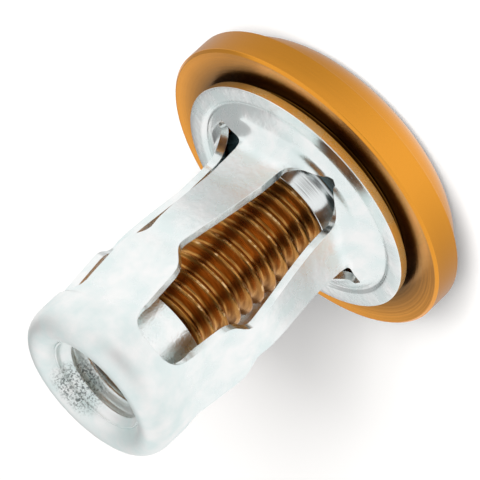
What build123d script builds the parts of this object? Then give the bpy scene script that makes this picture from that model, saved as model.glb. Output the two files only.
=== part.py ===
from build123d import *
from math import acos, cos, degrees, radians, sin
import os

# A bolt with its domed fender washer, and the sheet metal jack nut that is screwed on to it.
# It stands on the front of the washer. +Z runs along the bolt to the nut end, and z = 0 is the washer's front.

# Bolt: button head with a hexagon socket, metric 6 mm thread (its helix is fine thread, so the shank is plain)
thread_diameter = 6.0
shank_undersize = 0.03
shank_length = 16.0
tip_chamfer = 0.6
head_diameter = 10.5
head_height = 3.3
crown_flat_radius = 2.85
crown_shoulder = (4.3, 0.35)
crown_height = 1.3
socket_across_flats = 4.0
socket_depth = 2.1

# Fender washer: turned, domed at the front, with a round boss on the back
washer_diameter = 20.0
washer_height = 4.3
front_ring_radius = 6.2
dome_radius = 3.5
dome_height = 2.1
rim_front_height = 2.25
rim_back_height = 3.93
rim_chamfer = 0.15
boss_diameter = 14.4
boss_rise = 0.6
head_pocket_clearance = 0.35
head_recess = 0.05
shank_hole_clearance = 0.3

# Retaining ring: flanged sleeve on the bolt, which keeps it in the washer
ring_clearance = 0.05
ring_flange_diameter = 8.6
ring_flange_thickness = 0.4
ring_sleeve_diameter = 7.2
ring_height = 1.7

# Jack nut: drawn from one sheet, with a flange, four bent legs, a rolled end and a neck turned back inside it
sheet = 0.6
flange_diameter = 16.0
flange_edge = 0.2
step_radius = 7.0
rise_radius = 6.15
rise_height = 0.3
flare_haunch = (5.6, 0.82)
flare_shoulder = (5.25, 1.2)
throat_radius = 5.15
throat_start = 1.7
belly_radius = 5.9
end_radius = 5.17
neck_radius = 3.57
thread_clearance = 0.05
roll_radius = 1.4
end_wall = 1.0
funnel_width = 0.6

# How far the flat legs stand from the axis, and the bends between them
crease_distance = 5.4
throat_distance = 4.85
knee_distance = 5.66
shin_distance = 5.28
foot_distance = 4.8
foot_bend = 1.4
knee_bend = 1.5

# Heights along the jack nut, from the middle of its flange
crease_height = 0.9
throat_height = 1.35
thigh_height = 3.8
knee_height = 9.3
knee_fall = 1.3
foot_drop = 0.7
belly_start_height = 4.0
belly_end_height = 11.5
merge_rise = 1.2
neck_length = 5.6

# Windows between the legs: half widths and heights
window_count = 4
arch_tip_radius = 6.12
arch_haunch = (5.5, 0.55)
arch_shoulder = (5.25, 1.2)
arch_foot = (5.1, 1.7)
arch_height = 1.4
window_top_half_width = 1.6
throat_half_width = 2.22
throat_width_height = 2.1
thigh_half_width = 2.3
knee_half_width = 3.2
knee_width_rise = 0.3
shin_half_width = 2.2
shin_width_rise = 1.45
foot_half_width = 1.93
window_end_height = 15.0
window_corner = 0.9

# Worked out from the sizes above
shank_radius = thread_diameter / 2 - shank_undersize
head_seat = head_recess + head_height
thread_bore = shank_radius + thread_clearance
flange_middle = washer_height + sheet / 2
foot_height = window_end_height - foot_drop
merge_height = window_end_height + merge_rise
nut_end_height = merge_height + roll_radius
neck_start_height = nut_end_height - neck_length
window_start = (neck_radius + throat_distance - sheet) / 2
leg_angles = [(turn + 0.5) * 360 / window_count for turn in range(window_count)]
window_angles = [turn * 360 / window_count for turn in range(window_count)]
haunch_lean = sin(radians(45))
leg_bends = (0, 0, 0, foot_bend, 0, knee_bend, knee_bend, knee_bend, 0, 0)


def at(distance, height):
    """A point of the jack nut's section, with its height above the middle of the flange."""
    return distance, flange_middle + height


def section_plane(angle):
    """The upright plane through the axis: its x runs outward at this angle and its y runs up."""
    outward = (cos(radians(angle)), sin(radians(angle)), 0)
    sideways = (sin(radians(angle)), -cos(radians(angle)), 0)
    return Plane(origin=(0, 0, 0), x_dir=outward, z_dir=sideways)


def facing_plane(angle, distance):
    """The upright plane that faces outward at this angle, this far from the axis."""
    outward = (cos(radians(angle)), sin(radians(angle)), 0)
    sideways = (-sin(radians(angle)), cos(radians(angle)), 0)
    return Plane(origin=(distance * outward[0], distance * outward[1], 0), x_dir=sideways, z_dir=outward)


# Bolt
with BuildPart() as bolt:
    with BuildSketch(Plane.XZ):
        with BuildLine():
            Polyline(
                (0, head_recess),
                (crown_flat_radius, head_recess),
                (crown_shoulder[0], head_recess + crown_shoulder[1]),
                (head_diameter / 2, head_recess + crown_height),
                (head_diameter / 2, head_seat),
                (shank_radius, head_seat),
                (shank_radius, head_seat + shank_length - tip_chamfer),
                (shank_radius - tip_chamfer, head_seat + shank_length),
                (0, head_seat + shank_length),
                close=True,
            )
        make_face()
    revolve(axis=Axis.Z)
    with BuildSketch(Plane.XY.offset(head_recess)):
        RegularPolygon(radius=socket_across_flats / 2, side_count=6, major_radius=False)
    extrude(amount=socket_depth, mode=Mode.SUBTRACT)

# Fender washer
rim_radius = washer_diameter / 2
pocket_radius = head_diameter / 2 + head_pocket_clearance
hole_radius = thread_diameter / 2 + shank_hole_clearance
dome_sweep = degrees(acos(1 - dome_height / dome_radius))
with BuildPart() as fender_washer:
    with BuildSketch(Plane.XZ):
        with BuildLine():
            dome = JernArc(start=(front_ring_radius, 0), tangent=(1, 0), radius=dome_radius, arc_size=dome_sweep)
            Polyline(
                dome @ 1,
                (rim_radius, rim_front_height),
                (rim_radius, rim_back_height),
                (rim_radius - rim_chamfer, rim_back_height + rim_chamfer),
                (boss_diameter / 2, washer_height - boss_rise),
                (boss_diameter / 2, washer_height),
                (hole_radius, washer_height),
                (hole_radius, head_seat),
                (pocket_radius, head_seat),
                (pocket_radius, 0),
                (front_ring_radius, 0),
            )
        make_face()
    revolve(axis=Axis.Z)

# Retaining ring
ring_seat = washer_height + ring_clearance
with BuildPart() as retaining_ring:
    with BuildSketch(Plane.XY.offset(ring_seat)):
        Circle(ring_flange_diameter / 2)
        Circle(shank_radius + ring_clearance, mode=Mode.SUBTRACT)
    extrude(amount=ring_flange_thickness)
    with BuildSketch(Plane.XY.offset(ring_seat)):
        Circle(ring_sleeve_diameter / 2)
        Circle(shank_radius + ring_clearance, mode=Mode.SUBTRACT)
    extrude(amount=ring_height)


def drawn_form(inset, end_drop, roundness):
    """The shape of the sheet's outside, or smaller by inset: round, with a long bent flat along each leg.

    Its end is end_drop lower than the nut's. Roundness is 1 outside, and 0 inside, where the bends are left plain.
    """
    back = sheet / 2 - inset
    with BuildPart() as form:
        with BuildSketch(Plane.XZ):
            with BuildLine():
                FilletPolyline(
                    at(0, back - sheet),
                    at(step_radius, back - sheet),
                    at(step_radius, back),
                    at(rise_radius, back + rise_height),
                    at(flare_haunch[0] - haunch_lean * inset, flare_haunch[1] - haunch_lean * inset),
                    at(flare_shoulder[0] - inset, flare_shoulder[1] - haunch_lean * inset),
                    at(throat_radius - inset, throat_start),
                    at(throat_radius - inset, throat_width_height),
                    at(belly_radius - inset, belly_start_height),
                    at(belly_radius - inset, belly_end_height),
                    at(end_radius - inset, foot_height),
                    at(end_radius - inset, nut_end_height - end_drop),
                    at(0, nut_end_height - end_drop),
                    radius=(0, 0, 0, 0, 0, 0, 0, 0, 0, 0, 0, roundness * roll_radius, 0),
                    close=True,
                )
            make_face()
        revolve(axis=Axis.Z)
        for angle in leg_angles:
            with BuildSketch(section_plane(angle)):
                with BuildLine():
                    FilletPolyline(
                        at(flange_diameter, back + rise_height),
                        at(rise_radius, back + rise_height),
                        at(crease_distance - haunch_lean * inset, crease_height - haunch_lean * inset),
                        at(throat_distance - inset, throat_height - haunch_lean * inset),
                        at(throat_distance - inset, thigh_height),
                        at(knee_distance - inset, knee_height),
                        at(shin_distance - inset, knee_height + knee_fall),
                        at(foot_distance - inset, foot_height),
                        at(end_radius - inset, merge_height),
                        at(flange_diameter, merge_height),
                        radius=[roundness * bend for bend in leg_bends],
                        close=True,
                    )
                make_face()
            extrude(amount=belly_radius, both=True, mode=Mode.SUBTRACT)
    return form.part


# Jack nut
with BuildPart() as jack_nut:
    with BuildSketch(Plane.XY.offset(washer_height)):
        Circle(flange_diameter / 2)
    extrude(amount=sheet)
    chamfer(jack_nut.edges().filter_by(GeomType.CIRCLE).sort_by(Axis.Z)[-1], length=flange_edge)
    add(drawn_form(0, 0, 1))
    add(drawn_form(sheet, end_wall, 0), mode=Mode.SUBTRACT)
    with BuildSketch(Plane.XY.offset(flange_middle + neck_start_height)):
        Circle(neck_radius)
    extrude(until=Until.NEXT)
    with BuildSketch(Plane.XZ):
        with BuildLine():
            Polyline(
                at(0, 0),
                at(thread_bore, 0),
                at(thread_bore, nut_end_height - funnel_width),
                at(thread_bore + funnel_width, nut_end_height),
                at(0, nut_end_height),
                close=True,
            )
        make_face()
    revolve(axis=Axis.Z, mode=Mode.SUBTRACT)
    for angle in window_angles:
        with BuildSketch(facing_plane(angle, window_start)):
            with BuildLine():
                side = FilletPolyline(
                    at(0, arch_height),
                    at(window_top_half_width, arch_height),
                    at(throat_half_width, throat_width_height),
                    at(thigh_half_width, thigh_height),
                    at(knee_half_width, knee_height + knee_width_rise),
                    at(shin_half_width, knee_height + shin_width_rise),
                    at(foot_half_width, window_end_height),
                    at(0, window_end_height),
                    radius=(0, 0, 0, 0, 0, window_corner),
                )
                mirror(side, about=Plane.YZ)
            make_face()
        extrude(amount=flange_diameter / 2, mode=Mode.SUBTRACT)
        with BuildSketch(Plane.XY.offset(washer_height).rotated((0, 0, angle))):
            with BuildLine():
                arch = Polyline(
                    (window_start, 0),
                    (window_start, arch_foot[1]),
                    arch_foot,
                    arch_shoulder,
                    arch_haunch,
                    (arch_tip_radius, 0),
                )
                mirror(arch, about=Plane.XZ)
            make_face()
        extrude(amount=sheet / 2 + arch_height, mode=Mode.SUBTRACT)

pieces = {"bolt": bolt, "fender_washer": fender_washer, "retaining_ring": retaining_ring, "jack_nut": jack_nut}
os.makedirs("parts", exist_ok=True)
for name, piece in pieces.items():
    piece.part.label = name
    export_step(piece.part, f"parts/{name}.step")
    print(name, len(piece.part.solids()), round(piece.part.volume, 3))
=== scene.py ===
# %% [markdown]
# # A bolt, its fender washer and a drawn jack nut
#
# The part stands on the domed front of an anodised washer. A bolt runs up through the washer, and a jack
# nut that was drawn from one sheet of steel is screwed on to it. Lengths are written in millimetres, as
# on a drawing, and `MM` turns them into Blender's metres.

from math import radians

import bmesh
import bpy
import numpy as np
from mathutils import Matrix, Vector


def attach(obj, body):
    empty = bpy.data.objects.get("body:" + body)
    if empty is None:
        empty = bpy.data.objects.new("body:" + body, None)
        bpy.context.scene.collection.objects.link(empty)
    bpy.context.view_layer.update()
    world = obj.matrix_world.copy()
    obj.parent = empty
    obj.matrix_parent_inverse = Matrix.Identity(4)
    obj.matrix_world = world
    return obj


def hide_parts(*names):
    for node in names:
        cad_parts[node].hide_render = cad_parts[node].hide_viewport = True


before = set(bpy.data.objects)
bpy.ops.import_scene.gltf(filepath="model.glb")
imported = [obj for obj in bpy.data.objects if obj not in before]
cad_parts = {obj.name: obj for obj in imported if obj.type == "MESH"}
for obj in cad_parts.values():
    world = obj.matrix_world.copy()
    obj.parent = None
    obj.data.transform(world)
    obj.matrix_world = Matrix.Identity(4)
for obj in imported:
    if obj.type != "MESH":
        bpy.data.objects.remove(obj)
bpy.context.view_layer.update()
MM = 0.001
print("nodes:", sorted(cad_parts))

# %% [markdown]
# ## Camera
#
# The photograph looks past the nut's open end, down on to the back of the washer, with the bolt's axis
# running from lower left to upper right. A long lens gives its weak perspective. The direction comes from
# the ellipses that the washer's and the flange's edges make in the picture, and a turn about the line of
# sight tilts the axis in the frame.

# %% The camera, at the photograph's angle
CAMERA_AZIMUTH = 6.79
CAMERA_ELEVATION = 24.025
CAMERA_ROLL = -133.32
CAMERA_DISTANCE = 228.61
AIM = Vector((-1.718, 0.176, 8.382)) * MM

azimuth = radians(CAMERA_AZIMUTH)
elevation = radians(CAMERA_ELEVATION)
toward_camera = Vector((
    np.cos(elevation) * np.cos(azimuth),
    np.cos(elevation) * np.sin(azimuth),
    np.sin(elevation),
))
camera_data = bpy.data.cameras.new("photo_camera")
camera_data.lens = 300
camera_data.sensor_width = 36
camera_data.clip_start = 0.01
camera = bpy.data.objects.new("photo_camera", camera_data)
bpy.context.collection.objects.link(camera)
upright = (-toward_camera).to_track_quat("-Z", "Y").to_matrix()
turned = upright @ Matrix.Rotation(radians(CAMERA_ROLL), 3, "Z")
camera.matrix_world = Matrix.Translation(AIM + toward_camera * CAMERA_DISTANCE * MM) @ turned.to_4x4()
bpy.context.scene.camera = camera
print("camera at, in mm:", [round(value / MM, 2) for value in camera.location])

# %% [markdown]
# ## Helpers for surfaces
#
# Every new piece is a grid of points that numpy works out at once. `skin` turns such a grid into vertex
# numbers and four-sided faces, and `make_piece` puts one or more of these grids into a mesh and welds the
# points that meet.


# %% Grids of points to faces
WELD = 0.0004


def skin(points, first_vertex=0, closed=True, climb=0):
    """Join a grid of points, rows by columns, with four-sided faces.

    Point (row, column) is vertex row * columns + column. A closed grid joins its last column to its first. A
    grid that climbs joins it to the first column that many rows further on, as the turns of a thread do.
    """
    rows, columns = points.shape[:2]
    number = first_vertex + np.arange(rows * columns).reshape(rows, columns)
    if closed:
        beyond = number[np.minimum(np.arange(rows) + climb, rows - 1), 0]
        right = np.column_stack([number[:, 1:], beyond])
        left = number
    else:
        left, right = number[:, :-1], number[:, 1:]
    return np.stack([left[:-1], right[:-1], right[1:], left[1:]], axis=-1).reshape(-1, 4)


def make_piece(name, grids):
    """Make one object from (points, closed, climb) grids in mm, welded, with its faces turned outward."""
    corners, faces, used = [], [], 0
    for points, closed, climb in grids:
        faces.append(skin(points, used, closed, climb))
        corners.append(points.reshape(-1, 3))
        used += len(corners[-1])
    mesh = bpy.data.meshes.new(name)
    mesh.from_pydata(np.concatenate(corners) * MM, [], np.concatenate(faces).tolist())
    shape = bmesh.new()
    shape.from_mesh(mesh)
    bmesh.ops.remove_doubles(shape, verts=shape.verts, dist=WELD * MM)
    bmesh.ops.dissolve_degenerate(shape, edges=shape.edges, dist=WELD / 2 * MM)
    bmesh.ops.recalc_face_normals(shape, faces=shape.faces)
    shape.to_mesh(mesh)
    shape.free()
    mesh.shade_smooth()
    piece = bpy.data.objects.new(name, mesh)
    bpy.context.collection.objects.link(piece)
    print(name, len(mesh.polygons), "faces")
    return piece


# %% Outlines with rounded corners
def rounded(points, radii, steps=7):
    """Round the corners of a closed outline.

    The arc at a corner starts radius / tan(half its angle) before it, ends as far after it, and follows the
    circle that touches both sides. Steps of equal angle on that circle give its points.
    """
    corner = np.asarray(points, dtype=float)
    radius = np.asarray(radii, dtype=float)[:, None]
    back = np.roll(corner, 1, axis=0) - corner
    ahead = np.roll(corner, -1, axis=0) - corner
    back /= np.linalg.norm(back, axis=1, keepdims=True)
    ahead /= np.linalg.norm(ahead, axis=1, keepdims=True)
    half = np.arccos(np.clip((back * ahead).sum(axis=1), -1, 1))[:, None] / 2
    middle = (back + ahead) / np.linalg.norm(back + ahead, axis=1, keepdims=True)
    centre = corner + middle * radius / np.sin(half)
    start = corner + back * radius / np.tan(half) - centre
    finish = corner + ahead * radius / np.tan(half) - centre
    sweep = (np.pi - 2 * half)[:, None]
    share = np.linspace(0, 1, steps)[None, :, None]
    from_start = np.sin((1 - share) * sweep) * start[:, None]
    to_finish = np.sin(share * sweep) * finish[:, None]
    outline = (centre[:, None] + (from_start + to_finish) / np.sin(sweep)).reshape(-1, 2)
    step = np.linalg.norm(outline - np.roll(outline, 1, axis=0), axis=1)
    return outline[step > 1e-6]


def turned_grid(outline, columns):
    """Turn an outline of (radius, height) points about Z: a point lies at (r cos a, r sin a, height)."""
    angle = np.linspace(0, 2 * np.pi, columns, endpoint=False)
    radius, height = outline[:, :1], outline[:, 1:]
    return np.stack([radius * np.cos(angle), radius * np.sin(angle), height + 0 * angle], axis=-1)


# %% [markdown]
# ## Fender washer
#
# The real washer is turned from aluminium bar: a domed front, a thin rim, a back that dips towards a
# round boss, and edges that the tool only just breaks. Cylinders with bevels could give the rim but not
# the dome that runs smoothly into it. So its section is one outline with small rounded corners, turned
# about Z as on the lathe.

# %% Turn the fender washer
WASHER_COLUMNS = 256

washer_outline = rounded(
    [
        (5.6, 0), (8.49, 0), (9.407, 2.1), (10, 2.25), (10, 3.93), (9.85, 4.08),
        (7.2, 3.7), (7.2, 4.3), (3.3, 4.3), (3.3, 3.35), (5.6, 3.35),
    ],
    [0.1, 3.45, 0.03, 0.1, 0.04, 0.04, 0.08, 0.05, 0.1, 0.1, 0.05],
    steps=9,
)
washer_outline = np.concatenate([washer_outline, washer_outline[:1]])
washer = make_piece("turned_washer", [(turned_grid(washer_outline, WASHER_COLUMNS), True, 0)])
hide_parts("fender_washer")
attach(washer, "washer")

# %% [markdown]
# ## Retaining ring
#
# A small flanged sleeve on the bolt keeps it in the washer. Through the near window it shows as a bright
# band with a dark edge; that dark edge is painted shade and reflection in its colour. It is turned as well,
# so the same two helpers make it from its own outline.

# %% Turn the retaining ring
RING_COLUMNS = 128

ring_outline = rounded(
    [(3.02, 4.35), (5.3, 4.35), (5.3, 4.75), (4.0, 4.75), (3.85, 5.15), (3.35, 6.05), (3.02, 6.05)],
    [0.08, 0.1, 0.1, 0.25, 0.3, 0.1, 0.05],
)
ring_outline = np.concatenate([ring_outline, ring_outline[:1]])
ring = make_piece("flanged_ring", [(turned_grid(ring_outline, RING_COLUMNS), True, 0)])
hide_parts("retaining_ring")
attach(ring, "screw")

# %% [markdown]
# ## Bolt
#
# The bolt has a metric 6 mm thread: one turn climbs 1 mm and its flanks lean at 60 degrees to each other.
# A Screw modifier could wind it, but its ends would stay open and the tip square. On a straight grid the
# crests would cut across the rows and look like a saw. So the rows climb with the thread: each row rises
# by one pitch on its way round, and the last column is joined to the first column of the next turn.

# %% The thread's section
PITCH = 1.0
CREST_RADIUS = 2.97
ROOT_RADIUS = 2.40
TURN_STEPS = 14


def thread_share(turns):
    """How far a thread stands up, 0 at the root and 1 at the crest, after that many turns of pitch along it.

    The crest is centred on whole numbers. Its flat is an eighth of the pitch, the flanks fall in straight
    lines, and short slopes round the corners.
    """
    off_crest = np.abs(turns - np.round(turns))
    return np.interp(off_crest, [0, 0.045, 0.08, 0.37, 0.42, 0.5], [1, 1, 0.95, 0.08, 0.01, 0])


def helix_grid(low, high, phase, inner, outer, columns):
    """A thread between two heights, on rows that climb with it.

    A row's height is its start plus pitch * angle / 360 degrees, kept between low and high. The radius there
    is inner + (outer - inner) * thread_share(height / pitch - angle / 360 degrees - phase).
    """
    angle = np.linspace(0, 2 * np.pi, columns, endpoint=False)
    fine = np.array([
        -0.5, -0.42, -0.37, -0.28, -0.18, -0.08, -0.045, 0.0, 0.045, 0.08, 0.18, 0.28, 0.37, 0.42,
    ])
    turns = np.arange(np.floor(low / PITCH) - 2, np.ceil(high / PITCH) + 2)
    start = (turns[:, None] + fine + phase).ravel() * PITCH
    height = np.clip(start[:, None] + PITCH * angle / (2 * np.pi), low, high)
    share = thread_share(height / PITCH - angle / (2 * np.pi) - phase)
    radius = inner + (outer - inner) * share
    return radius, angle, height


# %% The bolt's head, thread and tip
HEAD_SEAT = 3.35
TIP = 19.35
TIP_CHAMFER = 0.6
BOLT_COLUMNS = 144
THREAD_PHASE = 0.0
HALF_ACROSS_FLATS = 2.0

head_outline = rounded(
    [(0, 0.05), (4.35, 0.05), (5.25, 1.25), (5.25, 3.35), (0, 3.35)],
    [0, 2.9, 0.05, 0.06, 0],
    steps=12,
)
head_outline = head_outline[head_outline[:, 0] > 2.6]
head_angle = np.linspace(0, 2 * np.pi, BOLT_COLUMNS, endpoint=False)
# a flat at half the width across flats stands that / cos(angle from its middle) from the axis
hexagon = HALF_ACROSS_FLATS / np.cos((head_angle + np.pi / 6) % (np.pi / 3) - np.pi / 6)
socket_rows = [(0 * hexagon, 2.15), (0.97 * hexagon, 2.15), (hexagon, 2.1), (hexagon, 0.2)]
socket = np.stack([
    np.stack([radius * np.cos(head_angle), radius * np.sin(head_angle), height + 0 * head_angle], axis=-1)
    for radius, height in socket_rows
])
rim_radii = [(2.42, 0.05), (2.7, 0.05)]
rim_grid = turned_grid(np.array(rim_radii), BOLT_COLUMNS)
head_grid = np.concatenate([socket, rim_grid, turned_grid(head_outline, BOLT_COLUMNS)])

thread_radius, thread_angle, thread_height = helix_grid(
    HEAD_SEAT, TIP, THREAD_PHASE, ROOT_RADIUS, CREST_RADIUS, BOLT_COLUMNS
)
tip_cone = CREST_RADIUS - np.clip(thread_height - (TIP - TIP_CHAMFER), 0, None)
thread_radius = np.minimum(thread_radius, tip_cone)
thread_grid = np.stack([
    thread_radius * np.cos(thread_angle), thread_radius * np.sin(thread_angle), thread_height
], axis=-1)
seat_ring = thread_grid[:1]
tip_ring = thread_grid[-1:]
head_grid = np.concatenate([head_grid, seat_ring])
tip_grid = np.concatenate([tip_ring, tip_ring * [0, 0, 1]])
bolt = make_piece("threaded_bolt", [
    (head_grid, True, 0),
    (thread_grid, True, TURN_STEPS),
    (tip_grid, True, 0),
])
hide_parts("bolt")
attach(bolt, "screw")

# %% [markdown]
# ## Jack nut
#
# A press draws the nut from one sheet: a flange, a cage with four windows, a rolled end, and a neck
# turned back inside the cage. Windows cut into a round cup with Booleans would leave long thin faces on
# the flares, and those show in a bright finish. So it is one surface here too.
#
# Four equal sectors, each centred on a leg, cover the full turn. In each, rows run from the flange over
# the rolled end and down into the neck, and columns run across the leg. Where a window is open, the sector
# is narrower by the window's half width. Heights are measured from the middle of the flange.

# %% Heights and sizes of the sheet
SHEET = 0.6
CAGE_SHARE = 0.83  # of the sheet's thickness
FLANGE_MIDDLE = 4.6
CAGE_START = 0.6
WINDOW_HIGH = 15.0
ROUND_END = 16.2
STEP_TOP = 0.3
STEP_FOOT = 0.165
STEP_RADIUS = 6.7
FLARE_RADIUS = 0.9
FLARE_END = 1.6
BEND_REACH = 0.45
CORNER_REACH = 0.06
ROLL_RADIUS = 4.2
LIP_HEIGHT = 16.55
NECK_SKIN = 3.02
NECK_START = 12.0

# half width of a window at each height above the flange's middle
window_heights = [
    0.6, 0.65, 0.7, 0.8, 0.9, 1.0, 1.12, 1.25, 1.4, 1.6, 1.8, 2.1, 3.5, 5.5, 7.5, 9.2,
    9.5, 9.75, 10.0, 10.25, 10.5, 10.8, 11.2, 12.0, 13.6, 14.0, 14.35, 14.6, 14.75, 14.85, 14.95, 15.0,
]
window_widths = [
    0, 0.2, 0.32, 0.54, 0.78, 1.04, 1.36, 1.66, 1.9, 2.07, 2.16, 2.22, 2.3, 2.56, 2.87, 3.11,
    3.11, 3.03, 2.85, 2.63, 2.43, 2.28, 2.19, 2.11, 1.95, 1.88, 1.76, 1.56, 1.36, 1.17, 0.85, 0,
]

# distance of a leg's flat from the axis at each height
flat_heights = [
    0.6, 0.8, 0.95, 1.2, 1.6, 2.0, 3.0, 4.2, 5.5, 7.5,
    8.8, 9.3, 9.8, 10.4, 12.0, 13.6, 14.6, 15.4, 16.2,
]
flat_distances = [
    5.62, 5.42, 5.26, 5.08, 4.92, 4.85, 4.84, 4.9, 5.09, 5.41,
    5.56, 5.58, 5.5, 5.31, 5.08, 4.88, 4.93, 5.08, 5.2,
]

# radius of the round parts between the legs at each height above the flare
belly_heights = [1.6, 2.1, 4.0, 5.0, 11.0, 11.8, 14.0, 14.6, 16.2]
belly_radii = [5.15, 5.15, 5.7, 5.75, 5.75, 5.7, 5.22, 5.17, 5.17]


# %% The sheet's shape
def flare_radius(height):
    """Radius of the round part: a slope of 45 degrees, a quarter circle of 0.9 mm, then the belly's line."""
    arc_start = FLARE_END - FLARE_RADIUS
    slope = 6.15 - (np.clip(height, CAGE_START, arc_start) - CAGE_START)
    below_end = FLARE_END - np.clip(height, arc_start, FLARE_END)
    arc = 6.05 - np.sqrt(np.clip(FLARE_RADIUS ** 2 - below_end ** 2, 0, None))
    belly = np.interp(height, belly_heights, belly_radii)
    return np.where(height < arc_start, slope, np.where(height < FLARE_END, arc, belly))


def soft_least(first, second, reach):
    """The smaller of two values, with a bend of that reach where they cross.

    It is (first + second - sqrt((first - second)^2 + reach^2)) / 2.
    """
    return (first + second - np.sqrt((first - second) ** 2 + reach ** 2)) / 2


def cage_radius(angle, height):
    """Radius of the cage at an angle from a leg's middle: the round part, cut off by the leg's flat.

    A flat at a distance d stands d / cos(angle) from the axis. Its bends are rounded, because d is the mean
    of the given line over a reach to either side, which grows from nothing at the flange to 0.45 mm.
    """
    reach = np.clip((height - CAGE_START) / 5, 0.0, BEND_REACH)
    nearby = height[..., None] + reach[..., None] * np.linspace(-1, 1, 11)
    flat = np.interp(nearby, flat_heights, flat_distances).mean(axis=-1) / np.cos(angle)
    return soft_least(flare_radius(height), flat, CORNER_REACH)


def window_edge(height):
    """Angle from the leg's middle to the window's edge.

    The edge is where radius * sin(45 degrees - angle) is the window's half width. A few rounds of putting
    the last answer back into that give it.
    """
    half_width = np.interp(height, window_heights, window_widths, left=0, right=0)
    angle = np.full_like(height, np.pi / 4)
    for _ in range(12):
        angle = np.pi / 4 - np.arcsin(np.clip(half_width / cage_radius(angle, height), 0, 0.7))
    return angle


# %% Rows of the sheet, from the flange's edge to the neck
flange_rows = np.array([
    [8.0, 0.28], [7.8, 0.295], [7.5, STEP_TOP], [7.2, STEP_TOP], [7.05, STEP_TOP], [7.0, 0.29],
    [6.94, 0.23], [6.89, 0.18], [6.84, STEP_FOOT], [STEP_RADIUS, STEP_FOOT],
])
cage_heights = np.unique(np.round(np.concatenate([
    CAGE_START + np.array([0, 0.005, 0.02, 0.04, 0.06, 0.08]),
    np.linspace(0.7, 2.1, 26),
    np.linspace(2.2, 14.0, 119),
    np.linspace(14.05, WINDOW_HIGH, 20),
    np.linspace(WINDOW_HIGH + 0.05, ROUND_END, 16),
]), 4))
# the roll's outer half goes out by 0.97 cos(t)^0.9 and up by 1.4 sin(t)^0.9 from its middle circle
outer_turn = np.linspace(0, np.pi / 2, 18)[1:]
outer_roll = np.column_stack([
    ROLL_RADIUS + 0.97 * np.cos(outer_turn) ** 0.9,
    ROUND_END + 1.4 * np.sin(outer_turn) ** 0.9,
])
# its inner half, the lip of the hole, is a quarter of an ellipse of 1.08 by 1.05 mm
inner_turn = np.linspace(0, np.pi / 2, 14)[1:]
lip = np.column_stack([
    ROLL_RADIUS - 1.08 * np.sin(inner_turn),
    LIP_HEIGHT + 1.05 * np.cos(inner_turn),
])
neck_rows = np.column_stack([np.full(10, NECK_SKIN), np.linspace(16.3, NECK_START, 10)])
roll_rows = np.concatenate([outer_roll, lip, neck_rows])
print("rows of flange, cage and roll:", len(flange_rows), len(cage_heights), len(roll_rows))

# %% Four sectors of the sheet
across = np.linspace(-1, 1, 33)
full_turn = across * np.pi / 4


def plain_rows(outline):
    """Rows of an outline of (radius, height) points that cover a sector's full 90 degrees."""
    radius, height = outline[:, :1], outline[:, 1:]
    return radius + 0 * full_turn, full_turn + 0 * radius, height + 0 * full_turn


cage_turn = window_edge(cage_heights)[:, None] * across
cage_level = cage_heights[:, None] + 0 * across
cage_rows = (cage_radius(cage_turn, cage_level), cage_turn, cage_level)
rise = np.linspace(0, 1, 8)[1:-1, None]
slope_radius = STEP_RADIUS + (cage_rows[0][:1] - STEP_RADIUS) * rise
slope_level = STEP_FOOT + (CAGE_START - STEP_FOOT) * rise
slope_rows = (slope_radius, full_turn + 0 * rise, slope_level + 0 * full_turn)
parts = [plain_rows(flange_rows), slope_rows, cage_rows, plain_rows(roll_rows)]
sheet_radius, sheet_turn, sheet_level = (np.concatenate(list(group)) for group in zip(*parts))
sectors = []
for leg in range(4):
    angle = sheet_turn + np.pi / 4 + leg * np.pi / 2
    sector = np.stack([
        sheet_radius * np.cos(angle), sheet_radius * np.sin(angle), sheet_level + FLANGE_MIDDLE
    ], axis=-1)
    sectors.append((sector, False, 0))
nut = make_piece("drawn_jack_nut", sectors)

# %% [markdown]
# Solidify needs to know which way is out, and `make_piece` has seen to that. The press leaves the
# flange's rim well rounded and the windows' edges only just broken, so Bevel reads a weight on each free
# edge of the sheet. The cage is drawn a little thinner than the flange, so Solidify reads a vertex group
# that holds the flange alone.

# %% Thickness and rounded edges
def weigh_free_edges(mesh, rim_radius, rim_weight, other_weight):
    """Give each edge with only one face a bevel weight, by whether both its ends lie beyond rim_radius."""
    edge_of_corner = np.empty(len(mesh.loops), dtype=np.int32)
    mesh.loops.foreach_get("edge_index", edge_of_corner)
    ends = np.empty(len(mesh.edges) * 2, dtype=np.int32)
    mesh.edges.foreach_get("vertices", ends)
    place = np.empty(len(mesh.vertices) * 3, dtype=np.float32)
    mesh.vertices.foreach_get("co", place)
    from_axis = np.linalg.norm(place.reshape(-1, 3)[:, :2], axis=1) / MM
    free = np.bincount(edge_of_corner, minlength=len(mesh.edges)) == 1
    on_rim = (from_axis[ends.reshape(-1, 2)] > rim_radius).all(axis=1)
    weight = np.where(free, np.where(on_rim, rim_weight, other_weight), 0).astype(np.float32)
    layer = mesh.attributes.new("bevel_weight_edge", "FLOAT", "EDGE")
    layer.data.foreach_set("value", weight)
    print("free edges:", int(free.sum()), "of which on the rim:", int((free & on_rim).sum()))


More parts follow.
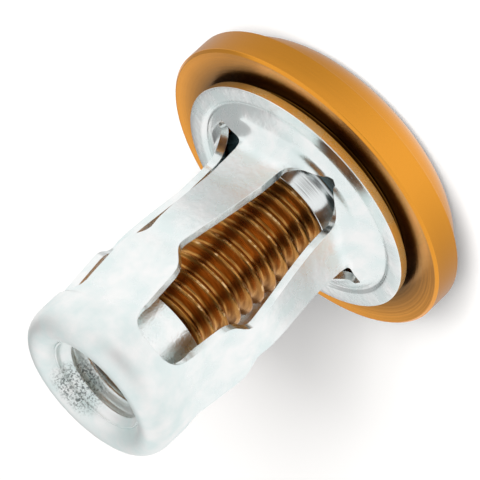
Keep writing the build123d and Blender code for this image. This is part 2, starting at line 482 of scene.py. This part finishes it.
RIM_RADIUS = 7.99
FULL_SHEET_RADIUS = 6.93
weigh_free_edges(nut.data, RIM_RADIUS, 1.0, 0.4)
places = np.empty(len(nut.data.vertices) * 3, dtype=np.float32)
nut.data.vertices.foreach_get("co", places)
full_sheet = nut.vertex_groups.new(name="full_sheet")
outer = np.nonzero(np.linalg.norm(places.reshape(-1, 3)[:, :2], axis=1) / MM > FULL_SHEET_RADIUS)[0]
full_sheet.add(outer.tolist(), 1.0, "REPLACE")
thickness = nut.modifiers.new("sheet", "SOLIDIFY")
thickness.vertex_group = "full_sheet"
thickness.thickness_vertex_group = CAGE_SHARE
thickness.thickness = SHEET * MM
thickness.offset = -1
thickness.use_even_offset = True
edges = nut.modifiers.new("edges", "BEVEL")
edges.limit_method = "WEIGHT"
edges.width = 0.28 * MM
edges.segments = 4
edges.harden_normals = True
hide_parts("jack_nut")
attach(nut, "nut")

# %% [markdown]
# ## Thread in the neck
#
# The neck is tapped to match the bolt. A Boolean cut with the bolt's helix would be slow and would leave
# slivers. So its thread is a sleeve whose outside is hidden in the neck's wall and whose inside climbs as
# the bolt's does, with its crests opposite the bolt's roots.

# %% Cut the neck's thread
NECK_LOW = FLANGE_MIDDLE + 12.02
NECK_HIGH = FLANGE_MIDDLE + 16.95
NECK_ROOT = 3.0
NECK_CREST = 2.5
NECK_BORE = 3.06
NECK_WALL = 3.15
LEAD_IN = 0.6

inner_radius, inner_angle, inner_height = helix_grid(
    NECK_LOW, NECK_HIGH, THREAD_PHASE + 0.5, NECK_ROOT, NECK_CREST, BOLT_COLUMNS
)
# the thread runs out into the bore over the last 0.6 mm
fade = np.clip((NECK_HIGH - inner_height) / LEAD_IN, 0, 1)
inner_radius = NECK_BORE - (NECK_BORE - inner_radius) * fade
inner_grid = np.stack([
    inner_radius * np.cos(inner_angle), inner_radius * np.sin(inner_angle), inner_height
], axis=-1)
wall = turned_grid(np.array([(NECK_WALL, NECK_LOW), (NECK_WALL, NECK_HIGH)]), BOLT_COLUMNS)
wall_grid = np.concatenate([inner_grid[:1], wall, inner_grid[-1:]])
neck_thread = make_piece("neck_thread", [(inner_grid, True, TURN_STEPS), (wall_grid, True, 0)])
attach(neck_thread, "nut")

# %% [markdown]
# ## Finishes
#
# Bare metals are mirrors with a tint: a Principled shader with Metallic at 1, a base colour that says
# what the mirror keeps of each colour, and a roughness that blurs it. Fine bumps, worked out in
# millimetres, give the tool marks. The noises read places in millimetres, so one with a scale of 9 has
# grains of about a ninth of a millimetre.

# %% Helpers for materials
def linear(code):
    """Turn a hex colour as seen on a screen into the linear values that Blender works with."""
    shown = np.array([int(code[place:place + 2], 16) for place in (0, 2, 4)]) / 255
    value = np.where(shown <= 0.04045, shown / 12.92, ((shown + 0.055) / 1.055) ** 2.4)
    return (*[float(part) for part in value], 1.0)


def add_node(tree, kind, sockets=None, **settings):
    """Add one node. Its settings come first, then each socket is joined to an output or given a value."""
    made = tree.nodes.new(kind)
    for name, value in settings.items():
        setattr(made, name, value)
    for socket, value in (sockets or {}).items():
        if isinstance(value, bpy.types.NodeSocket):
            tree.links.new(value, made.inputs[socket])
        else:
            made.inputs[socket].default_value = value
    return made


def new_material(name):
    """An empty node material, its node tree and its output node."""
    material = bpy.data.materials.new(name)
    material.use_nodes = True
    material.node_tree.nodes.clear()
    return material, material.node_tree, add_node(material.node_tree, "ShaderNodeOutputMaterial")


def place_in_mm(tree):
    """Two vectors in mm: the place itself, and its distance from the axis with its height.

    What is cut on a lathe varies only with the second.
    """
    place = add_node(tree, "ShaderNodeTexCoord").outputs["Object"]
    in_mm = add_node(tree, "ShaderNodeVectorMath", {0: place, 3: 1 / MM}, operation="SCALE").outputs[0]
    apart = add_node(tree, "ShaderNodeSeparateXYZ", {0: in_mm})
    flat = add_node(tree, "ShaderNodeCombineXYZ", {0: apart.outputs[0], 1: apart.outputs[1]}).outputs[0]
    distance = add_node(tree, "ShaderNodeVectorMath", {0: flat}, operation="LENGTH").outputs["Value"]
    on_lathe = add_node(tree, "ShaderNodeCombineXYZ", {0: distance, 1: apart.outputs[2]}).outputs[0]
    return in_mm, on_lathe


# %% [markdown]
# A lathe leaves fine rings on what it turns. They are about 0.1 mm apart here, the finest that the render
# still shows. Anodising keeps them and tints the mirror gold; zinc plate keeps them too and is nearly
# grey. The colour may also change with the radius over a band of heights. That change is painted shade:
# dark brown in the groove round the washer's boss, and dark grey on the ring's flange.

# %% Turned metal
def turned_metal(name, near, far, start, end, low, high, roughness, mark_height):
    """Turned metal with the fine rings that the tool leaves.

    Between the heights low and high, the colour goes from near to far between the radii start and end.
    That change is painted shade. It is far everywhere else.
    """
    material, tree, output = new_material(name)
    in_mm, on_lathe = place_in_mm(tree)
    rings = add_node(tree, "ShaderNodeTexNoise", {
        "Vector": on_lathe, "Scale": 9.0, "Detail": 2.0,
    }).outputs[0]
    bump = add_node(tree, "ShaderNodeBump", {"Height": rings, "Strength": 0.5, "Distance": mark_height * MM})
    cloud = add_node(tree, "ShaderNodeTexNoise", {"Vector": in_mm, "Scale": 0.6, "Detail": 2.0}).outputs[0]
    dull = add_node(tree, "ShaderNodeMapRange", {"Value": cloud, 3: roughness - 0.04, 4: roughness + 0.05})
    # where the colour changes with the radius, it is painted shade
    apart = add_node(tree, "ShaderNodeSeparateXYZ", {0: on_lathe})
    outward = add_node(tree, "ShaderNodeMapRange", {"Value": apart.outputs[0], 1: start, 2: end})
    inside = add_node(tree, "ShaderNodeMath", {
        0: apart.outputs[1], 1: (low + high) / 2, 2: (high - low) / 2,
    }, operation="COMPARE")
    far_share = add_node(tree, "ShaderNodeMix", {0: inside.outputs[0], 2: 1.0, 3: outward.outputs[0]})
    tint = add_node(tree, "ShaderNodeMix", {
        0: far_share.outputs[0], 6: linear(near), 7: linear(far),
    }, data_type="RGBA").outputs[2]
    shader = add_node(tree, "ShaderNodeBsdfPrincipled", {
        "Base Color": tint, "Metallic": 1.0, "Roughness": dull.outputs[0], "Normal": bump.outputs[0],
    })
    tree.links.new(shader.outputs[0], output.inputs[0])
    return material


# %% [markdown]
# The bolt's thread is rolled between dies, which leaves streaks along the turns, about 0.1 mm wide. Some
# are duller and browner. In places the crests are coloured pale, a painted highlight for the glints there.

# %% Gold anodised aluminium, rolled
CREST_GLINT_COLOUR = "F3CB94"


def rolled_gold(name, dark, bright, roughness):
    """An anodised thread, streaked from a dark to a bright colour, with pale painted highlights on its
    crests.
    """
    material, tree, output = new_material(name)
    in_mm, on_lathe = place_in_mm(tree)
    drawn_out = add_node(tree, "ShaderNodeMapping", {"Vector": in_mm, "Scale": (0.7, 0.7, 9.0)}).outputs[0]
    streaks = add_node(tree, "ShaderNodeTexNoise", {
        "Vector": drawn_out, "Scale": 1.0, "Detail": 4.0,
    }).outputs[0]
    sharp = add_node(tree, "ShaderNodeMapRange", {"Value": streaks, 1: 0.35, 2: 0.65})
    streaked = add_node(tree, "ShaderNodeMix", {
        0: sharp.outputs[0], 6: linear(dark), 7: linear(bright),
    }, data_type="RGBA").outputs[2]
    apart = add_node(tree, "ShaderNodeSeparateXYZ", {0: on_lathe})
    # pale patches on the crests are a painted highlight
    crest = add_node(tree, "ShaderNodeMapRange", {"Value": apart.outputs[0], 1: 2.92, 2: 2.965})
    glint_noise = add_node(tree, "ShaderNodeTexNoise", {"Vector": in_mm, "Scale": 2.5, "Detail": 2.0}).outputs[0]
    glint_patches = add_node(tree, "ShaderNodeMapRange", {"Value": glint_noise, 1: 0.54, 2: 0.66})
    crest_glint = add_node(tree, "ShaderNodeMath", {0: crest.outputs[0], 1: glint_patches.outputs[0]}, operation="MULTIPLY")
    tint = add_node(tree, "ShaderNodeMix", {
        0: crest_glint.outputs[0], 6: streaked, 7: linear(CREST_GLINT_COLOUR),
    }, data_type="RGBA").outputs[2]
    dull = add_node(tree, "ShaderNodeMapRange", {
        "Value": streaks, 1: 0.3, 2: 0.7, 3: roughness + 0.1, 4: roughness - 0.08,
    })
    bump = add_node(tree, "ShaderNodeBump", {"Height": streaks, "Strength": 0.6, "Distance": 0.03 * MM})
    shader = add_node(tree, "ShaderNodeBsdfPrincipled", {
        "Base Color": tint, "Metallic": 1.0, "Roughness": dull.outputs[0], "Normal": bump.outputs[0],
    })
    tree.links.new(shader.outputs[0], output.inputs[0])
    return material


# %% [markdown]
# Bright zinc is a pale mirror over drawn steel, with a faint orange peel that drawing gives the sheet. It
# has three other faces here. It is duller where the end is rolled, coarser on the neck, and torn on one
# side of the hole's lip.

# %% Bright zinc plate on drawn steel
TORN_PLACE = (-2.9, 0.3, 21.2)
TORN_FLECK = "8B9290"
NECK_RADIUS = 3.8
NECK_TOP = 20.5


def zinc_plate(name, colour, cool, roughness):
    """Zinc plate between two near colours. Its roughness and bump change where the sheet was worked."""
    material, tree, output = new_material(name)
    in_mm, on_lathe = place_in_mm(tree)
    apart = add_node(tree, "ShaderNodeSeparateXYZ", {0: on_lathe})
    radius, height = apart.outputs[0], apart.outputs[1]

    from_tear = add_node(tree, "ShaderNodeVectorMath", {0: in_mm, 1: TORN_PLACE}, operation="DISTANCE")
    nearby = add_node(tree, "ShaderNodeMapRange", {
        "Value": from_tear.outputs["Value"], 1: 2.1, 2: 0.8,
    }, interpolation_type="SMOOTHSTEP")
    inner_lip = add_node(tree, "ShaderNodeMapRange", {"Value": radius, 1: 3.9, 2: 3.5})
    torn = add_node(tree, "ShaderNodeMath", {
        0: nearby.outputs[0], 1: inner_lip.outputs[0],
    }, operation="MULTIPLY")
    within = add_node(tree, "ShaderNodeMath", {0: radius, 1: NECK_RADIUS}, operation="LESS_THAN")
    below = add_node(tree, "ShaderNodeMath", {0: height, 1: NECK_TOP}, operation="LESS_THAN")
    neck = add_node(tree, "ShaderNodeMath", {
        0: within.outputs[0], 1: below.outputs[0],
    }, operation="MULTIPLY")
    coarse = add_node(tree, "ShaderNodeMath", {
        0: neck.outputs[0], 1: 0.14, 2: torn.outputs[0],
    }, operation="MULTIPLY_ADD")

    peel = add_node(tree, "ShaderNodeTexNoise", {"Vector": in_mm, "Scale": 3.0, "Detail": 5.0}).outputs[0]
    grit = add_node(tree, "ShaderNodeTexNoise", {
        "Vector": in_mm, "Scale": 7.5, "Detail": 5.0, "Distortion": 0.6,
    }).outputs[0]
    broken = add_node(tree, "ShaderNodeMath", {0: grit, 1: coarse.outputs[0]}, operation="MULTIPLY")
    relief = add_node(tree, "ShaderNodeMath", {
        0: broken.outputs[0], 1: 14.0, 2: peel,
    }, operation="MULTIPLY_ADD")
    bump = add_node(tree, "ShaderNodeBump", {
        "Height": relief.outputs[0], "Strength": 0.5, "Distance": 0.02 * MM,
    })

    cloud = add_node(tree, "ShaderNodeTexNoise", {"Vector": in_mm, "Scale": 0.7, "Detail": 4.0}).outputs[0]
    patchy = add_node(tree, "ShaderNodeMapRange", {
        "Value": cloud, 1: 0.3, 2: 0.7, 3: roughness - 0.08, 4: roughness + 0.06,
    })
    worked = add_node(tree, "ShaderNodeMapRange", {"Value": height, 1: 18.5, 2: 21.5, 3: 0.0, 4: 0.3})
    dull = add_node(tree, "ShaderNodeMath", {0: patchy.outputs[0], 1: worked.outputs[0]}, operation="ADD")

    cast = add_node(tree, "ShaderNodeMapRange", {"Value": cloud, 1: 0.35, 2: 0.65})
    plate = add_node(tree, "ShaderNodeMix", {
        0: cast.outputs[0], 6: linear(colour), 7: linear(cool),
    }, data_type="RGBA").outputs[2]
    fleck = add_node(tree, "ShaderNodeMapRange", {"Value": grit, 1: 0.48, 2: 0.62})
    pitted = add_node(tree, "ShaderNodeMath", {
        0: fleck.outputs[0], 1: torn.outputs[0],
    }, operation="MULTIPLY")
    tint = add_node(tree, "ShaderNodeMix", {
        0: pitted.outputs[0], 6: plate, 7: linear(TORN_FLECK),
    }, data_type="RGBA").outputs[2]
    shader = add_node(tree, "ShaderNodeBsdfPrincipled", {
        "Base Color": tint, "Metallic": 1.0, "Roughness": dull.outputs[0], "Normal": bump.outputs[0],
    })
    tree.links.new(shader.outputs[0], output.inputs[0])
    return material


# %% Give each piece its finish
# the back goes from dark brown near the boss to gold at radius 9.5: painted shade in the groove round the
# boss
washer_finish = turned_metal(
    "gold_anodised_turned_aluminium", "6B4A1C", "EFA139",
    start=7.9, end=9.5, low=3.4, high=4.27, roughness=0.24, mark_height=0.02,
)
washer.data.materials.append(washer_finish)
bolt.data.materials.append(rolled_gold("gold_anodised_rolled_thread", "9A6528", "CE9652", 0.3))
nut_finish = zinc_plate("bright_zinc_on_drawn_steel", "FAFBFA", "EBF5F4", 0.26)
nut.data.materials.append(nut_finish)
neck_thread.data.materials.append(nut_finish)
# bright within radius 3.85, dark grey beyond 4.15: painted shade and dark reflection on the ring's flange
ring_finish = turned_metal(
    "bright_zinc_on_turned_steel", "F0F4F4", "56686C",
    start=3.85, end=4.15, low=4.0, high=7.0, roughness=0.22, mark_height=0.03,
)
ring.data.materials.append(ring_finish)
print("finishes:", sorted(material.name for material in bpy.data.materials))

# %% [markdown]
# ## Floor
#
# The photograph is on white, with a soft grey shadow. The floor is a plain pale plane. A small glow that
# only the camera sees makes it white wherever it is fully lit, and the shadow stays.
#
# Metal shows what is round it, so the floor also has a level of its own for mirrors: pale further off,
# and dimmer close to the part, above all on the side away from the light. That dimming is a painted shadow,
# and the brighter side a painted light, that only mirrors see. After a diffuse bounce that level is off.
# The gold of the washer would otherwise colour the floor.

# %% A pale floor that keeps the shadow
FLOOR_SIZE = 3.0
FLOOR_GLOW = 0.2
MIRRORED_FLOOR = 0.94
MIRRORED_SHADE = 0.5
MIRRORED_BRIGHT_SIDE = 0.45
SHADE_START = 0.0165
SHADE_END = 0.024
BRIGHT_BEARING = -15.0

bpy.ops.mesh.primitive_plane_add(size=FLOOR_SIZE, location=(0, 0, 0))
floor = bpy.context.object
floor.name = "pale_floor"
floor_finish, tree, output = new_material("pale_paper")
ray = add_node(tree, "ShaderNodeLightPath")
seen = add_node(tree, "ShaderNodeMath", {
    0: ray.outputs["Is Camera Ray"], 1: FLOOR_GLOW,
}, operation="MULTIPLY")

on_floor = add_node(tree, "ShaderNodeTexCoord").outputs["Object"]
from_axis = add_node(tree, "ShaderNodeVectorMath", {0: on_floor}, operation="LENGTH")
spot = add_node(tree, "ShaderNodeVectorMath", {0: on_floor}, operation="NORMALIZE").outputs[0]
bright_side = (np.cos(radians(BRIGHT_BEARING)), np.sin(radians(BRIGHT_BEARING)), 0.0)
facing = add_node(tree, "ShaderNodeVectorMath", {0: spot, 1: bright_side}, operation="DOT_PRODUCT")
lobe = add_node(tree, "ShaderNodeMath", {0: facing.outputs["Value"], 1: 0.0}, operation="MAXIMUM")
lobe = add_node(tree, "ShaderNodeMath", {0: lobe.outputs[0], 1: 4.0}, operation="POWER")
# for mirrors: painted shadow close to the part, painted light on the bright side
close = add_node(tree, "ShaderNodeMath", {
    0: lobe.outputs[0], 1: MIRRORED_BRIGHT_SIDE, 2: MIRRORED_SHADE,
}, operation="MULTIPLY_ADD")
away = add_node(tree, "ShaderNodeMapRange", {0: from_axis.outputs["Value"], 1: SHADE_START, 2: SHADE_END})
even = add_node(tree, "ShaderNodeMix", {0: away.outputs[0], 2: close.outputs[0], 3: MIRRORED_FLOOR})
first = add_node(tree, "ShaderNodeMath", {0: ray.outputs["Diffuse Depth"], 1: 0.5}, operation="LESS_THAN")
in_mirror = add_node(tree, "ShaderNodeMath", {
    0: ray.outputs["Is Glossy Ray"], 1: first.outputs[0],
}, operation="MULTIPLY")
level = add_node(tree, "ShaderNodeMath", {
    0: in_mirror.outputs[0], 1: even.outputs[0], 2: seen.outputs[0],
}, operation="MULTIPLY_ADD")

glow = add_node(tree, "ShaderNodeEmission", {"Color": linear("FFFFFF"), "Strength": level.outputs[0]})
paper = add_node(tree, "ShaderNodeBsdfDiffuse", {"Color": linear("F4F2F0")})
# mirrors see the paper dimmed, under the painted level above
dim_paper = add_node(tree, "ShaderNodeBsdfDiffuse", {"Color": linear("404040")})
either = add_node(tree, "ShaderNodeMixShader", {
    0: ray.outputs["Is Glossy Ray"], 1: paper.outputs[0], 2: dim_paper.outputs[0],
})
both = add_node(tree, "ShaderNodeAddShader", {0: either.outputs[0], 1: glow.outputs[0]})
tree.links.new(both.outputs[0], output.inputs[0])
floor.data.materials.append(floor_finish)
print("floor:", FLOOR_SIZE, "m across")

# %% [markdown]
# ## Studio light
#
# A square lamp in front of the part gives the soft shadow, and a weaker one beside it softens the
# shadow's edge. Mirrors don't see the lamps. They see the world: a white tent with three dim places,
# which give the metals their darker bands. One is in front, where a tent is open, one is low down behind
# the part, and one is behind it to the side. To the camera the world is plain white.


# %% Lamps
def soft_light(name, bearing, height, distance, size, power):
    """A square lamp that faces the part, at a bearing from +X and a height above the floor in degrees."""
    lamp_data = bpy.data.lights.new(name, "AREA")
    lamp_data.shape = "SQUARE"
    lamp_data.size = size
    lamp_data.energy = power
    lamp = bpy.data.objects.new(name, lamp_data)
    bpy.context.collection.objects.link(lamp)
    away = Vector((
        np.cos(radians(height)) * np.cos(radians(bearing)),
        np.cos(radians(height)) * np.sin(radians(bearing)),
        np.sin(radians(height)),
    ))
    turn = away.to_track_quat("Z", "Y").to_matrix().to_4x4()
    lamp.matrix_world = Matrix.Translation(away * distance + Vector((0, 0, 0.01))) @ turn
    lamp.visible_glossy = False
    return lamp


lamps = [
    soft_light("key", 16, 30, 2.0, 0.9, 70.0),
    soft_light("side_light", 30, 34, 2.0, 1.2, 10.0),
]
print("lamps:", [(lamp.name, lamp.data.energy) for lamp in lamps])

# %% The tent that the metals mirror
TENT_LEVEL = 0.92
LEVEL_ON_PAPER = 0.1

world = bpy.data.worlds.new("studio")
bpy.context.scene.world = world
world.use_nodes = True
sky = world.node_tree
sky.nodes.clear()
direction = add_node(sky, "ShaderNodeTexCoord").outputs["Generated"]


def dim_place(middle, start, full, bright, least):
    """The tent's level round one direction: bright where the cosine is under start, least from full on."""
    toward = add_node(sky, "ShaderNodeVectorMath", {0: direction, 1: middle}, operation="DOT_PRODUCT")
    return add_node(sky, "ShaderNodeMapRange", {
        0: toward.outputs["Value"], 1: start, 2: full, 3: bright, 4: least,
    }, interpolation_type="SMOOTHSTEP").outputs[0]


in_front = dim_place((0.98, 0.11, 0.19), 0.88, 0.975, TENT_LEVEL, 0.15)
low_behind = dim_place((-0.996, -0.05, 0.08), 0.92, 0.99, 1.0, 0.21)
side_behind = dim_place((-0.8, 0.5, 0.33), 0.825, 0.855, 1.0, 0.5)
tent = add_node(sky, "ShaderNodeMath", {0: in_front, 1: low_behind}, operation="MULTIPLY")
tent = add_node(sky, "ShaderNodeMath", {0: tent.outputs[0], 1: side_behind}, operation="MULTIPLY")
sky_ray = add_node(sky, "ShaderNodeLightPath")
on_paper = add_node(sky, "ShaderNodeMix", {
    0: sky_ray.outputs["Diffuse Depth"], 2: tent.outputs[0], 3: LEVEL_ON_PAPER,
})
shown = add_node(sky, "ShaderNodeMix", {0: sky_ray.outputs["Is Camera Ray"], 2: on_paper.outputs[0], 3: 1.0})
backdrop = add_node(sky, "ShaderNodeBackground", {"Color": linear("FFFFFF"), "Strength": shown.outputs[0]})
sky_output = add_node(sky, "ShaderNodeOutputWorld")
sky.links.new(backdrop.outputs[0], sky_output.inputs[0])
bpy.context.scene.view_settings.view_transform = "Standard"
